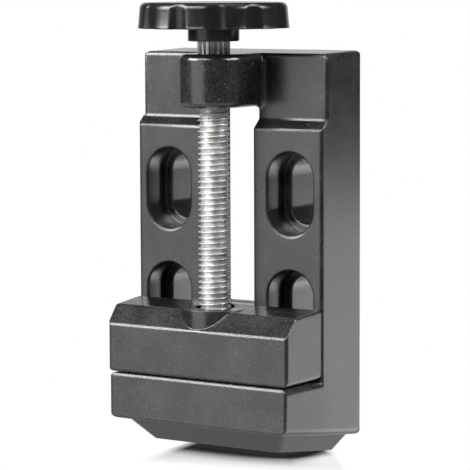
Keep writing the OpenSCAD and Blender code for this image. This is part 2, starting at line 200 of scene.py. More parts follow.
class GeometryTree(Graph):
    """A Geometry Nodes tree with named inputs that ends in a plain mesh."""

    def __init__(self, name: str, numbers: Sequence[str], takes_mesh: bool = False) -> None:
        """Makes the tree and its inputs.

        Args:
            name: The tree's name.
            numbers: The names of its number inputs.
            takes_mesh: Whether it works on the object's own mesh.
        """
        super().__init__(bpy.data.node_groups.new(name, "GeometryNodeTree"))
        face = self.tree.interface
        face.new_socket("Geometry", in_out="OUTPUT", socket_type="NodeSocketGeometry")
        if takes_mesh:
            face.new_socket("Geometry", in_out="INPUT", socket_type="NodeSocketGeometry")
        for number in numbers:
            face.new_socket(number, in_out="INPUT", socket_type="NodeSocketFloat")
        face.new_socket("Finish", in_out="INPUT", socket_type="NodeSocketMaterial")
        self.entry = self.tree.nodes.new("NodeGroupInput")

    def given(self, name: str) -> Signal:
        """A named input of the tree."""
        return self.signal(self.entry, name)

    def grid(self, rows: Number, columns: int) -> Tuple[NodeSocket, Signal, Signal]:
        """A sheet of points.

        Args:
            rows: The number of rows.
            columns: The number of columns.

        Returns:
            The sheet, and the row and column of a point.
        """
        sheet = self.node("GeometryNodeMeshGrid", {"Vertices X": rows, "Vertices Y": columns})
        index = self.signal(self.node("GeometryNodeInputIndex"))
        row = self.math("FLOOR", (index + 0.5) / columns)
        return sheet.outputs[0], row, index - row * columns

    def moved(self, geometry: NodeSocket, x: Number, y: Number, z: Number) -> NodeSocket:
        """A geometry whose points are moved to new places."""
        spot = self.node("ShaderNodeCombineXYZ", {0: x, 1: y, 2: z})
        places = {"Geometry": geometry, "Position": spot.outputs[0]}
        return self.node("GeometryNodeSetPosition", places).outputs[0]

    def wrap(self, sheet: NodeSocket, x: Signal, radius: Signal, turn: Signal) -> None:
        """Wraps a sheet round an axis along X at height Z, welds its seam and closes the tree.

        Args:
            sheet: The sheet of points.
            x: The place of a point along X.
            radius: Its distance from the axis.
            turn: Its angle round the axis.
        """
        y = radius * self.math("COSINE", turn)
        z = self.given("Z") + radius * self.math("SINE", turn)
        round_bar = {"Geometry": self.moved(sheet, x, y, z), "Distance": 2 * WELD}
        self.close(self.node("GeometryNodeMergeByDistance", round_bar).outputs[0])

    def close(self, geometry: NodeSocket) -> None:
        """Ends the tree in one real mesh with the given finish."""
        real = self.node("GeometryNodeRealizeInstances", {0: geometry}).outputs[0]
        look = {"Geometry": real, "Material": self.entry.outputs["Finish"]}
        dressed = self.node("GeometryNodeSetMaterial", look)
        self.node("NodeGroupOutput", {0: dressed.outputs[0]})

    def run(
        self, name: str, finish: Material, values: Mapping[str, float], start: Optional[Mesh] = None
    ) -> Object:
        """Runs the tree once and keeps its result as a plain mesh.

        Args:
            name: The new object's name.
            finish: The material of the result.
            values: The number inputs.
            start: The mesh that the tree works on, if it takes one.

        Returns:
            An object at the origin without modifiers.
        """
        holder = put_in_scene(name + "_source", start or bpy.data.meshes.new(name + "_empty"))
        modifier = holder.modifiers.new("shape", "NODES")
        modifier.node_group = self.tree
        for item in self.tree.interface.items_tree:
            if item.in_out == "INPUT" and item.name in values:
                modifier[item.identifier] = float(values[item.name])
            elif item.in_out == "INPUT" and item.name == "Finish":
                modifier[item.identifier] = finish
        mesh = applied(holder)
        paint(mesh, finish)
        mesh.polygons.foreach_set("material_index", [0] * len(mesh.polygons))
        return add_piece(name, mesh)


@contextmanager
def edited(mesh: Mesh) -> Iterator[bmesh.types.BMesh]:
    """Opens a mesh and keeps what was done to it."""
    work = bmesh.new()
    work.from_mesh(mesh)
    yield work
    work.to_mesh(mesh)
    work.free()


def put_in_scene(name: str, data: bpy.types.ID) -> Object:
    """Makes an object of a mesh, a lamp or a camera and puts it into the scene."""
    made = bpy.data.objects.new(name, data)
    bpy.context.scene.collection.objects.link(made)
    return made


def applied(thing: Object) -> Mesh:
    """The mesh of an object with its modifiers applied. The object is used up."""
    seen = thing.evaluated_get(bpy.context.evaluated_depsgraph_get())
    mesh = bpy.data.meshes.new_from_object(seen)
    bpy.data.objects.remove(thing)
    return mesh


def screw_height() -> float:
    """The height of the screw axis above the underside."""
    low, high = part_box("lead_screw")
    return (low.z + high.z) / 2


def paint(mesh: Mesh, finish: Material) -> None:
    """Gives a mesh one finish in place of those that it had."""
    mesh.materials.clear()
    mesh.materials.append(finish)


def add_piece(name: str, mesh: Mesh) -> Object:
    """Puts a closed mesh into the scene with outward faces.

    Args:
        name: The object's name.
        mesh: Its mesh, which is merged and turned outwards.

    Returns:
        The new object, at the origin.
    """
    with edited(mesh) as work:
        bmesh.ops.remove_doubles(work, verts=work.verts, dist=WELD)
        bmesh.ops.dissolve_degenerate(work, edges=work.edges, dist=WELD)
        bmesh.ops.recalc_face_normals(work, faces=work.faces)
    mesh.name = name
    shade(mesh, SMOOTH_ANGLE)
    return put_in_scene(name, mesh)


def shade(mesh: Mesh, angle: float) -> None:
    """Shades a mesh smooth, apart from edges sharper than an angle in degrees."""
    with edited(mesh) as work:
        for face in work.faces:
            face.smooth = True
        for edge in work.edges:
            edge.smooth = edge.calc_face_angle(TURN) < math.radians(angle)
    mesh.update()


def lathe(profile: Profile, height: float, columns: int) -> Mesh:
    """Turns an outline about the screw axis.

    Args:
        profile: Points of a place along X and a radius, from axis to axis.
        height: The height of the screw axis.
        columns: The number of faces round the axis.

    Returns:
        A closed mesh.
    """
    turns = [TURN * column / columns for column in range(columns)]
    circle = [(math.cos(turn), math.sin(turn)) for turn in turns]
    mesh = bpy.data.meshes.new("turned")
    with edited(mesh) as work:
        rows = []
        for x, radius in profile:
            rows.append([work.verts.new((x, radius * y, height + radius * z)) for y, z in circle])
        for low, high in zip(rows, rows[1:]):
            for column in range(columns):
                after = (column + 1) % columns
                work.faces.new((low[column], low[after], high[after], high[column]))
        bmesh.ops.remove_doubles(work, verts=work.verts, dist=WELD)
    return mesh


def arc(centre: Pair, radius: float, start: float, end: float, steps: int) -> Profile:
    """Points of an arc in an outline.

    Args:
        centre: The arc's centre, a place along X and a radius.
        radius: The arc's own radius.
        start: First angle in degrees, 0 along +X.
        end: Last angle in degrees.
        steps: The number of stretches.

    Returns:
        The points, ends included.
    """
    turns = [math.radians(start + (end - start) * step / steps) for step in range(steps + 1)]
    return [(centre[0] + radius * math.cos(turn), centre[1] + radius * math.sin(turn)) for turn in turns]


def join(name: str, parts: Sequence[Object]) -> Object:
    """Joins the meshes of several objects that share a body and a finish.

    Args:
        name: The joined object's name.
        parts: The objects, which are used up.

    Returns:
        The joined object.
    """
    mesh = bpy.data.meshes.new(name)
    with edited(mesh) as work:
        for part in parts:
            work.from_mesh(part.data)
    paint(mesh, parts[0].data.materials[0])
    for part in parts:
        bpy.data.objects.remove(part)
    return put_in_scene(name, mesh)


def place(piece: Object, body: Body, slot: Slot, *nodes: str) -> None:
    """Fastens a finished piece to its body and hides the solids that it replaces.

    Args:
        piece: The piece, in place.
        body: The body that it moves with.
        slot: Not used.
        nodes: The solids that it replaces.
    """
    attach(piece, body.value)
    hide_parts(*nodes)
    LOG.info("%s rides on %s, %d faces", piece.name, body.value, len(piece.data.polygons))


class Surface(Graph):
    """A material's node tree with the patterns that the finishes share."""

    BEVEL_SAMPLES = 4
    EDGE_START = 0.02
    EDGE_FULL = 0.25

    def __init__(self, name: str) -> None:
        """Makes the material with one Principled shader."""
        self.material = bpy.data.materials.new(name)
        self.material.use_nodes = True
        super().__init__(self.material.node_tree)
        self.tree.nodes.clear()
        self.shader = self.node("ShaderNodeBsdfPrincipled")
        self.node("ShaderNodeOutputMaterial", {"Surface": self.shader.outputs[0]})
        self.place = self.node("ShaderNodeTexCoord").outputs["Object"]

    def noise(self, size: float, detail: float = 2.0, stretch: Sequence[float] = (1.0, 1.0, 1.0)) -> Signal:
        """Noise of a given grain.

        Args:
            size: The grain's size in metres.
            detail: The noise's detail.
            stretch: How often the grain repeats along each axis, next to the others.

        Returns:
            A number of about one half.
        """
        mapped = self.node("ShaderNodeMapping", {"Vector": self.place, "Scale": stretch})
        pattern = {"Vector": mapped.outputs[0], "Scale": 1.0 / size, "Detail": detail}
        return self.signal(self.node("ShaderNodeTexNoise", pattern))

    def specks(self, spacing: float, share: float) -> Signal:
        """Fine specks, each a share of its cell.

        Args:
            spacing: The distance between neighbours in metres.
            share: The size of a speck next to the spacing.

        Returns:
            One on a speck and zero beside it.
        """
        cells = self.node("ShaderNodeTexVoronoi", {"Vector": self.place, "Scale": 1.0 / spacing})
        return self.ramp(self.signal(cells, "Distance"), (0.0, 1.0), (share, 0.0))

    def along(self, direction: Vector) -> Signal:
        """The place along a direction of the object's own axes, in metres."""
        return self.dot(self.place, tuple(direction))

    def edges(self, radius: float) -> Signal:
        """A mask of the edges, worked out from a rounded normal.

        Args:
            radius: How far from an edge the mask reaches, in metres.

        Returns:
            One at a sharp edge and zero on a flat.
        """
        flat = self.node("ShaderNodeNewGeometry").outputs["Normal"]
        turned = 1.0 - self.dot(self.bevelled(radius), flat)
        return self.ramp(turned, (self.EDGE_START, 0.0), (self.EDGE_FULL, 1.0))

    def bevelled(self, radius: float) -> NodeSocket:
        """The normal of the surface with its edges rounded."""
        return self.node("ShaderNodeBevel", {"Radius": radius}, samples=self.BEVEL_SAMPLES).outputs[0]

    def blend(self, factor: Signal, low: Union[Triple, NodeSocket], high: Triple) -> NodeSocket:
        """A colour between two others.

        Args:
            factor: How much of the second shows.
            low: The first colour, or a socket that gives it.
            high: The second colour.

        Returns:
            The mixed colour.
        """
        ground = low if isinstance(low, NodeSocket) else (*low, 1.0)
        made = self.node("ShaderNodeMix", {0: factor, 6: ground, 7: (*high, 1.0)}, data_type="RGBA")
        return made.outputs[2]

    def rounded(self, radius: float, fine: float, mask: Signal) -> NodeSocket:
        """A normal rounded at the edges.

        Args:
            radius: How far from an edge the rounding starts, in metres.
            fine: The same where the mask is one.
            mask: Where edges are crisper.

        Returns:
            The rounded normal.
        """
        wide = self.bevelled(radius)
        step = self.vector("SUBTRACT", self.bevelled(fine), wide)
        part = self.node("ShaderNodeVectorMath", {0: step.outputs[0], "Scale": mask}, operation="SCALE")
        both = self.vector("ADD", part.outputs[0], wide)
        unit = self.node("ShaderNodeVectorMath", {0: both.outputs[0]}, operation="NORMALIZE")
        return unit.outputs[0]

    def bump(self, height: Signal, depth: float, normal: Optional[NodeSocket] = None) -> NodeSocket:
        """A pattern in relief.

        Args:
            height: The pattern.
            depth: Its depth in metres.
            normal: The normal that it starts from, if not the surface's own.

        Returns:
            The new normal.
        """
        made = self.node("ShaderNodeBump", {"Height": height, "Distance": depth})
        if normal is not None:
            self.feed(made.inputs["Normal"], normal)
        return made.outputs[0]

    def set(self, **sockets: object) -> None:
        """Feeds the shader's sockets, with _ for a blank in a name."""
        for name, value in sockets.items():
            self.feed(self.shader.inputs[name.replace("_", " ").title().replace("Ior", "IOR")], value)


@dataclass(frozen=True)
class CoatedCasting:
    """Semi-gloss black coating on a die casting.

    A size is the grain of a pattern. A share says how much a pattern adds to the colour, the
    roughness or the relief. The jaw's round pad, near the screw, has crisper edges. The edges are
    lightened, partly as wear and partly as a painted highlight.
    """

    dark: Triple = (0.002, 0.002, 0.0022)
    pale: Triple = (0.033, 0.033, 0.034)
    # Colour of the edges: partly wear, partly a painted highlight.
    worn_and_highlight: Triple = (0.2, 0.2, 0.2)
    gloss: float = 1.8
    roughness: float = 0.24
    cloud_size: float = 6 * MM
    grain_size: float = 0.34 * MM
    cloud_share: float = 0.35
    mottle_start: float = 0.43
    mottle_full: float = 0.7
    speck_spacing: float = 0.9 * MM
    speck_share: float = 0.17
    speck_patch: float = 1.4 * MM
    speck_limit: float = 0.58
    speck_colour: float = 0.6
    speck_roughness: float = 0.15
    speck_relief: float = 0.4
    wear_and_highlight_size: float = 0.8 * MM
    wear_and_highlight_colour: float = 0.15
    cloud_roughness: float = 0.05
    grain_roughness: float = 0.08
    grain_relief: float = 0.25
    peel_size: float = 0.45 * MM
    peel_depth: float = 0.004 * MM
    edge_radius: float = 0.54 * MM
    fine_radius: float = 0.2 * MM
    pad_reach: float = 6.9 * MM
    pad_start: float = -14.2 * MM

    def build(self) -> Material:
        """The coating, with orange peel, dust specks and pale edges, partly worn and partly a painted
        highlight.
        """
        coat = Surface("coated_casting")
        cloud = coat.noise(self.cloud_size, detail=4.0)
        peel = coat.noise(self.peel_size, detail=3.0)
        grain = coat.noise(self.grain_size, detail=4.0)
        patches = coat.noise(self.speck_patch, detail=3.0).over(self.speck_limit)
        specks = coat.specks(self.speck_spacing, self.speck_share) * patches
        # Edge mask: partly wear, partly a painted highlight on every edge.
        edge = coat.edges(self.edge_radius) * coat.noise(self.wear_and_highlight_size, detail=3.0)
        pattern = self.cloud_share * cloud + (1.0 - self.cloud_share) * grain
        mottle = coat.ramp(pattern, (self.mottle_start, 0.0), (self.mottle_full, 1.0))
        # Pale marks: dust specks, and edges lightened partly by wear and partly as a painted highlight.
        specks_wear_and_highlight = (self.wear_and_highlight_colour * edge + self.speck_colour * specks).unit()
        colour = coat.blend(specks_wear_and_highlight, coat.blend(mottle, self.dark, self.pale), self.worn_and_highlight)
        rounded = coat.rounded(self.edge_radius, self.fine_radius, self._near_pad(coat))
        waves = self.cloud_roughness * cloud.centred() + self.grain_roughness * grain.centred()
        rough = self.roughness + waves + self.speck_roughness * specks
        height = peel + self.grain_relief * grain + self.speck_relief * specks
        relief = coat.bump(height, self.peel_depth, rounded)
        coat.set(base_color=colour, roughness=rough.unit(), normal=relief, ior=self.gloss)
        return coat.material

    def _near_pad(self, coat: Surface) -> Signal:
        """One on the jaw's round pad, whose edges are crisper, and zero elsewhere."""
        x, y, z = (coat.along(axis) for axis in Matrix.Identity(3))
        up = z - screw_height()
        away = coat.math("SQRT", y * y + up * up)
        return (self.pad_reach - away).over(0.0) * x.over(self.pad_start)


@dataclass(frozen=True)
class PlatedSteel:
    """Bright zinc plating on turned steel."""

    bright: Triple = (0.64, 0.64, 0.63)
    dull: Triple = (0.4, 0.4, 0.39)
    metal: float = 0.85
    roughness: float = 0.45
    patch_size: float = 1.6 * MM
    patch_start: float = 0.35
    patch_full: float = 0.6
    patch_roughness: float = 0.15
    mark_size: float = 0.5 * MM
    mark_stretch: Triple = (6.0, 1.0, 1.0)
    mark_colour: float = 0.4
    mark_roughness: float = 0.08
    mark_depth: float = 0.004 * MM

    def build(self) -> Material:
        """The plating, with faint tool marks round the axis and dull patches."""
        zinc = Surface("plated_steel")
        patch = zinc.noise(self.patch_size, detail=4.0)
        marks = zinc.noise(self.mark_size, detail=3.0, stretch=self.mark_stretch)
        pattern = patch + self.mark_colour * marks.centred()
        shine = zinc.ramp(pattern, (self.patch_start, 0.0), (self.patch_full, 1.0))
        colour = zinc.blend(shine, self.dull, self.bright)
        waves = self.patch_roughness * patch.centred() + self.mark_roughness * marks.centred()
        relief = zinc.bump(marks, self.mark_depth)
        rough = (self.roughness + waves).unit()
        zinc.set(base_color=colour, metallic=self.metal, roughness=rough, normal=relief)
        return zinc.material


@dataclass(frozen=True)
class KnobPlastic:
    """Glossy black moulded plastic."""

    dark: Triple = (0.004, 0.004, 0.0045)
    pale: Triple = (0.009, 0.009, 0.0095)
    dusty: Triple = (0.12, 0.12, 0.12)
    gloss: float = 1.52
    roughness: float = 0.22
    edge_radius: float = 0.45 * MM
    flow_size: float = 5 * MM
    flow_start: float = 0.3
    flow_full: float = 0.7
    flow_roughness: float = 0.05
    flow_relief: float = 2.0
    scratch_size: float = 0.25 * MM
    scratch_stretch: Triple = (1.0, 5.0, 1.0)
    scratch_roughness: float = 0.08
    scratch_depth: float = 0.004 * MM
    dust_spacing: float = 1.1 * MM
    dust_share: float = 0.09
    dust_patch: float = 3 * MM
    dust_limit: float = 0.5
    dust_colour: float = 0.6
    dust_roughness: float = 0.2

    def build(self) -> Material:
        """The plastic, with faint scratches, flow marks and dust."""
        plastic = Surface("knob_plastic")
        flow = plastic.noise(self.flow_size, detail=3.0)
        scratch = plastic.noise(self.scratch_size, detail=4.0, stretch=self.scratch_stretch)
        patches = plastic.noise(self.dust_patch).over(self.dust_limit)
        dust = plastic.specks(self.dust_spacing, self.dust_share) * patches
        tint = plastic.ramp(flow, (self.flow_start, 0.0), (self.flow_full, 1.0))
        ground = plastic.blend(tint, self.dark, self.pale)
        colour = plastic.blend(self.dust_colour * dust, ground, self.dusty)
        waves = self.flow_roughness * flow.centred() + self.scratch_roughness * scratch.centred()
        rough = (self.roughness + waves + self.dust_roughness * dust).unit()
        height = scratch + self.flow_relief * flow
        relief = plastic.bump(height, self.scratch_depth, plastic.bevelled(self.edge_radius))
        plastic.set(base_color=colour, roughness=rough, normal=relief, ior=self.gloss)
        return plastic.material


@dataclass(frozen=True)
class PlainSteel:
    """Rolled and ground steel under a film of oil."""

    bright: Triple = (0.5, 0.5, 0.49)
    stained: Triple = (0.22, 0.2, 0.18)
    roughness: float = 0.36
    stain_size: float = 3.5 * MM
    stain_start: float = 0.4
    stain_full: float = 0.6
    stain_roughness: float = 0.2
    line_size: float = 0.6 * MM
    line_stretch: Triple = (9.0, 0.6, 1.0)
    line_colour: float = 0.3
    line_roughness: float = 0.15
    line_depth: float = 0.005 * MM

    def build(self) -> Material:
        """The steel, with grinding lines across and oil stains."""
        steel = Surface("plain_steel")
        stain = steel.noise(self.stain_size, detail=5.0)
        lines = steel.noise(self.line_size, detail=3.0, stretch=self.line_stretch)
        pattern = stain + self.line_colour * lines.centred()
        clean = steel.ramp(pattern, (self.stain_start, 0.0), (self.stain_full, 1.0))
        colour = steel.blend(clean, self.stained, self.bright)
        waves = self.stain_roughness * stain.centred() + self.line_roughness * lines.centred()
        relief = steel.bump(lines, self.line_depth)
        rough = (self.roughness + waves).unit()
        steel.set(base_color=colour, metallic=1.0, roughness=rough, normal=relief)
        return steel.material


@dataclass
class Finishes:
    """Every finish of the vise, made once."""

    casting: Material = field(default_factory=lambda: CoatedCasting().build())
    plated: Material = field(default_factory=lambda: PlatedSteel().build())
    plastic: Material = field(default_factory=lambda: KnobPlastic().build())
    steel: Material = field(default_factory=lambda: PlainSteel().build())


@dataclass
class Casting:
    """One die casting, dressed from its solid. Its angles are in degrees."""

    node: str
    name: str
    body: Body
    finish: Material
    flat_angle: float = 0.2
    smooth_angle: float = 32.0
    large_face_weight: int = 100

    def build(self) -> Object:
        """A clean copy of the solid with even shading and the coating."""
        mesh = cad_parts[self.node].data.copy()
        flat = math.radians(self.flat_angle)
        with edited(mesh) as work:
            bmesh.ops.remove_doubles(work, verts=work.verts, dist=2 * WELD)
            bmesh.ops.dissolve_limit(work, angle_limit=flat, verts=work.verts, edges=work.edges)
        paint(mesh, self.finish)
        mesh.name = self.name
        shade(mesh, self.smooth_angle)
        piece = put_in_scene(self.name, mesh)
        even = piece.modifiers.new("even_shading", "WEIGHTED_NORMAL")
        even.keep_sharp = True
        even.weight = self.large_face_weight
        place(piece, self.body, Slot.CASTING, self.node)
        return piece


class ThreadTree(GeometryTree):
    """A threaded rod along X with chamfered, closed ends.

    STEPS counts the rows in a pitch, and COLUMNS the faces round the rod. The flats are shares of
    half a pitch, and LEAD moves the thread along by a share of a pitch.
    """

    STEPS = 16
    COLUMNS = 48
    ROOT_FLAT = 0.45
    CREST_FLAT = 0.1
    LEAD = 0.18

    def __init__(self) -> None:
        """Builds the tree."""
        super().__init__("threaded_rod", ("Start", "End", "Pitch", "Crest Radius", "Root Radius", "Z"))
        start, end, pitch = self.given("Start"), self.given("End"), self.given("Pitch")
        root = self.given("Root Radius")
        last_row = (self.math("CEIL", (end - start) / pitch) + 1.0) * self.STEPS
        sheet, row, column = self.grid(last_row + 1.0, self.COLUMNS + 1)
        along = start + pitch * (row / self.STEPS + column / self.COLUMNS - 1.0 + self.LEAD)
        x = along.at_least(start).at_most(end)
        phase = self.math("FRACT", row / self.STEPS)
        ridge = 2.0 * self.math("ABSOLUTE", phase - 0.5)
        height = ridge.between(self.ROOT_FLAT, 1.0 - self.CREST_FLAT)
        radius = root + height * (self.given("Crest Radius") - root)
        radius = radius.at_most(root + (x - start)).at_most(root + (end - x))
        inside = row.over(0.5) * (last_row - row).over(0.5)
        self.wrap(sheet, x, radius * inside, column * (TURN / self.COLUMNS))


class KnurlTree(GeometryTree):
    """A straight-knurled cylinder along X with chamfered, closed ends.

    STEPS counts the columns in a tooth with its groove. The first and the last of the ROWS lie on
    the axis and close the ends.
    """

    TEETH = 18
    STEPS = 4
    ROWS = 6

    def __init__(self) -> None:
        """Builds the tree."""
        super().__init__("straight_knurl", ("Start", "End", "Radius", "Depth", "Z"))
        columns = self.STEPS * self.TEETH
        sheet, row, column = self.grid(self.ROWS, columns + 1)
        depth = self.given("Depth")
        from_end = row.at_most(self.ROWS - 1.0 - row)
        inner = from_end.over(1.5)
        start, end = self.given("Start") + depth * inner, self.given("End") - depth * inner
        x = start + (end - start) * row.over(self.ROWS / 2 - 0.5)
        groove = self.math("MODULO", column, self.STEPS).over(self.STEPS / 2 - 0.5)
        radius = (self.given("Radius") - depth * groove.at_least(1.0 - inner)) * from_end.over(0.5)
        self.wrap(sheet, x, radius, column * (TURN / columns))


class FluteTree(GeometryTree):
    """Flutes that repeat round a turned blank, as if cut along its axis."""

    def __init__(self) -> None:
        """Builds the tree."""
        super().__init__(
            "knob_flutes",
            ("Count", "First Angle", "Depth", "Flute Radius", "Side Radius", "Softness", "Z"),
            takes_mesh=True,
        )
        position = self.node("GeometryNodeInputPosition").outputs[0]
        spot = self.node("ShaderNodeSeparateXYZ", {0: position})
        x, y = self.signal(spot, 0), self.signal(spot, 1)
        up = self.signal(spot, 2) - self.given("Z")
        reach = self.math("SQRT", y * y + up * up)
        turn = self.math("ARCTAN2", up, y)
        step = TURN / self.given("Count")
        part = self.math("FRACT", (turn - self.given("First Angle")) / step + 0.5) - 0.5
        away = part * step
        hollow = self.given("Flute Radius")
        centre = self.given("Side Radius") - self.given("Depth") + hollow
        across = centre * self.math("SINE", away)
        inside = (hollow * hollow - across * across).at_least(0.0)
        wall = centre * self.math("COSINE", away) - self.math("SQRT", inside)
        scale = self.math("SMOOTH_MIN", reach, wall, self.given("Softness")) / reach.at_least(WELD)
        blank = self.entry.outputs["Geometry"]
        self.close(self.moved(blank, x, y * scale, self.given("Z") + up * scale))


@dataclass
class LeadScrew:
    """The lead screw: grooved journal, thread and knurled end.

    The neck starts at a place in the part's frame, and the groove and the thread count from the tip.
    """

    finish: Material
    thread: ThreadTree
    pitch: float = 1.0 * MM
    thread_depth: float = 0.52 * MM
    journal_radius: float = 2.5 * MM
    groove_radius: float = 1.7 * MM
    groove_place: float = 3.75 * MM
    groove_half: float = 1.05 * MM
    thread_start: float = 7.95 * MM
    knurl_radius: float = 2.95 * MM
    knurl_depth: float = 0.45 * MM
    neck_start: float = 35.45 * MM
    chamfer: float = 0.4 * MM
    columns: int = 64

    def build(self) -> Object:
        """The whole screw as one piece."""
        low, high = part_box("lead_screw")
        height, crest = screw_height(), (high.z - low.z) / 2
        tip, shoulder = low.x, low.x + self.thread_start
        groove = low.x + self.groove_place
        wide, deep, edge = self.journal_radius, self.groove_radius, self.chamfer
        outline = [(tip, 0.0), (tip, wide - edge), (tip + edge, wide), (groove - self.groove_half, wide)]
        outline += [(groove - self.groove_half, deep), (groove + self.groove_half, deep)]
        outline += [(groove + self.groove_half, wide), (shoulder + edge, wide), (shoulder + edge, 0.0)]
        journal = add_piece("journal", lathe(outline, height, self.columns))
        paint(journal.data, self.finish)
        rod_sizes = {
            "Start": shoulder, "End": self.neck_start, "Pitch": self.pitch, "Z": height,
            "Crest Radius": crest, "Root Radius": crest - self.thread_depth,
        }
        rod = self.thread.run("rod", self.finish, rod_sizes)
        knurl_sizes = {
            "Start": self.neck_start - edge, "End": high.x, "Z": height,
            "Radius": self.knurl_radius, "Depth": self.knurl_depth,
        }
        knurl = KnurlTree().run("knurl", self.finish, knurl_sizes)
        piece = join("lead_screw_threaded", (journal, rod, knurl))
        place(piece, Body.SCREW, Slot.PLATED, "lead_screw")
        return piece


@dataclass
class KeeperScrew:
    """A cheese-headed screw under the keeper, with a slotted head and a thread."""

    node: str
    finish: Material
    thread: ThreadTree
    pitch: float = 0.5 * MM
    thread_depth: float = 0.3 * MM
    screw_radius: float = 1.25 * MM
    head_height: float = 1.7 * MM
    head_edge: float = 0.5 * MM
    slot_width: float = 0.7 * MM
    slot_depth: float = 0.8 * MM
    overlap: float = 0.1 * MM
    columns: int = 64
    edge_steps: int = 6

    def build(self) -> Object:
        """The screw, turned along X and then stood up, head down."""
        low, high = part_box(self.node)
        length, radius = high.z - low.z, (high.y - low.y) / 2
        edge = self.head_edge
        outline = [(0.0, 0.0), (0.0, radius - edge)]
        outline += arc((edge, radius - edge), edge, 180.0, 90.0, self.edge_steps)
        outline += [(self.head_height, radius), (self.head_height, 0.0)]
        head = add_piece("head", self._slotted(lathe(outline, 0.0, self.columns), radius))
        paint(head.data, self.finish)
        crest = self.screw_radius
        sizes = {
            "Start": self.head_height - self.overlap, "End": length, "Pitch": self.pitch, "Z": 0.0,
            "Crest Radius": crest, "Root Radius": crest - self.thread_depth,
        }
        shank = self.thread.run("shank", self.finish, sizes)
        piece = join(self.node + "_slotted", (head, shank))
        stand = Matrix.Rotation(-math.pi / 2, 4, "Y")
        foot = Vector(((low.x + high.x) / 2, (low.y + high.y) / 2, low.z))
        piece.data.transform(Matrix.Translation(foot) @ stand)
        place(piece, Body.JAW, Slot.PLATED, self.node)
        return piece

    def _slotted(self, mesh: Mesh, radius: float) -> Mesh:
        """Cuts the slot across a head.

        Args:
            mesh: The plain head, its top at zero along X.
            radius: The head's radius.

        Returns:
            The head with its slot.
        """
        block = bpy.data.meshes.new("slot_cutter")
        size = Vector((2 * self.slot_depth, 4 * radius, self.slot_width))
        with edited(block) as work:
            bmesh.ops.create_cube(work, size=1.0)
            bmesh.ops.scale(work, vec=size, verts=work.verts)
        cutter = put_in_scene("slot_cutter", block)
        head = put_in_scene("plain_head", mesh)
        cut = head.modifiers.new("slot", "BOOLEAN")
        cut.object = cutter
        cut.operation = "DIFFERENCE"
        slotted = applied(head)
        bpy.data.objects.remove(cutter)
        return slotted


@dataclass
class HandKnob:
    """The fluted knob with its hub and hollow underside.

    The first flute's angle is in degrees from upright. The lip stands out from the side, which
    leans in by the taper up to the rounded rim.
    """

    finish: Material
    flutes: int = 12
    first_flute: float = 35.5
    flute_depth: float = 0.7 * MM
    flute_radius: float = 2.3 * MM
    softness: float = 0.8 * MM
    hub_length: float = 2.3 * MM
    hub_radius: float = 4.6 * MM
    hub_edge: float = 0.25 * MM
    lip: float = 0.12 * MM
    lip_height: float = 0.3 * MM
    flare_height: float = 0.6 * MM
    taper: float = 0.25 * MM
    edge_radius: float = 1.15 * MM
    crown: float = 0.15 * MM
    cavity_radius: float = 11.0 * MM
    cavity_depth: float = 2.95 * MM
    socket_radius: float = 2.95 * MM
    socket_end: float = 3.85 * MM
    columns: int = 432
    arc_steps: int = 8
    hub_steps: int = 3
    top_rings: int = 6

    def outline(self, start: float, end: float, radius: float) -> Profile:
        """The knob's section from the socket's end round to the middle of the top.

        Args:
            start: The lower end of the hub along X.
            end: The middle of the top along X.
            radius: The radius of the lip.

        Returns:
            Points of a place along X and a radius.
        """
        lip = start + self.hub_length
        side = radius - self.lip
        hub, edge = self.hub_radius, self.hub_edge
        points = [(lip + self.socket_end, 0.0), (lip + self.socket_end, self.socket_radius)]
        points += [(start, self.socket_radius), (start, hub - edge)]
        points += arc((start + edge, hub - edge), edge, 180.0, 90.0, self.hub_steps)
        points += [(lip + self.cavity_depth, hub), (lip + self.cavity_depth, self.cavity_radius)]
        points += [(lip, self.cavity_radius + edge), (lip, radius - edge / 2)]
        points += [(lip + edge / 2, radius), (lip + self.lip_height, radius - edge / 4)]
        points += [(lip + self.flare_height, side)]
        top = end - self.crown
        outer = side - self.taper
        rim = (top - self.edge_radius, outer - self.edge_radius)
        points += arc(rim, self.edge_radius, 90.0, 0.0, self.arc_steps)
        flat = outer - self.edge_radius
        for ring in range(1, self.top_rings + 1):
            share = ring / self.top_rings
            points.append((end - self.crown * (1 - share) ** 2, flat * (1 - share)))
        return points

    def build(self) -> Object:
        """The blank, turned and then fluted."""
        low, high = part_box("hand_knob")
        height = screw_height()
        radius = max(high.y, -low.y)
        blank = lathe(self.outline(low.x, high.x, radius), height, self.columns)
        first = math.radians(90.0 + self.first_flute)
        sizes = {
            "Count": self.flutes, "First Angle": first, "Depth": self.flute_depth, "Z": height,
            "Flute Radius": self.flute_radius, "Side Radius": radius - self.lip,
            "Softness": self.softness,
        }
        piece = FluteTree().run("hand_knob_fluted", self.finish, sizes, blank)
        place(piece, Body.SCREW, Slot.PLASTIC, "hand_knob")
        return piece


